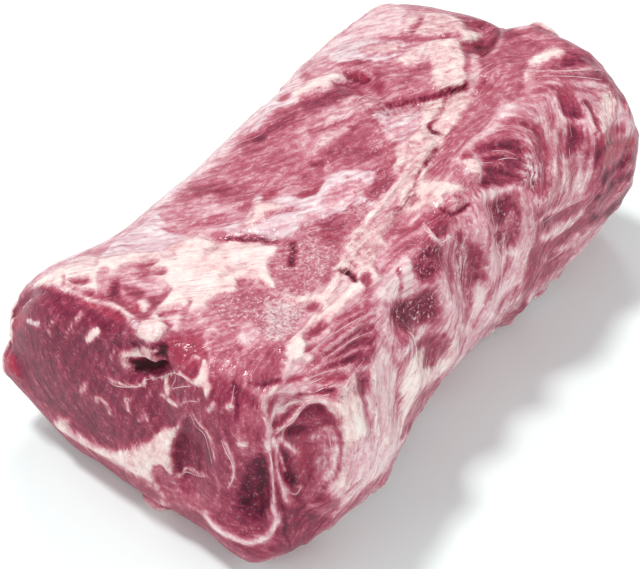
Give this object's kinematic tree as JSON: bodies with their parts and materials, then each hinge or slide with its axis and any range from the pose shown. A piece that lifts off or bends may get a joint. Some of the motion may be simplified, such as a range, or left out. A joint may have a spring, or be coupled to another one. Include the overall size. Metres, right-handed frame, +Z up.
{
  "type": "raw whole boneless ribeye",
  "caption": "Thick slab of raw boneless rib beef with square-cut ends, a fat-veined top, a cracked fold and rib bays along one side, lying on its flat underside.",
  "frame": {"origin": "middle of the slab's overall length and width, on the surface that it lies on", "axes": "+X along the slab from the cut face that shows the eye muscle to the far end, +Y towards the cap side, -Y towards the rib side, +Z up"},
  "size_m": [0.3524, 0.211, 0.1282],
  "materials": {
    "raw_beef": "raw beef, moist, with cream fat, silverskin and dark cut muscle"
  },
  "bodies": {
    "root": {"ribeye": "raw_beef"}
  },
  "joints": []
}
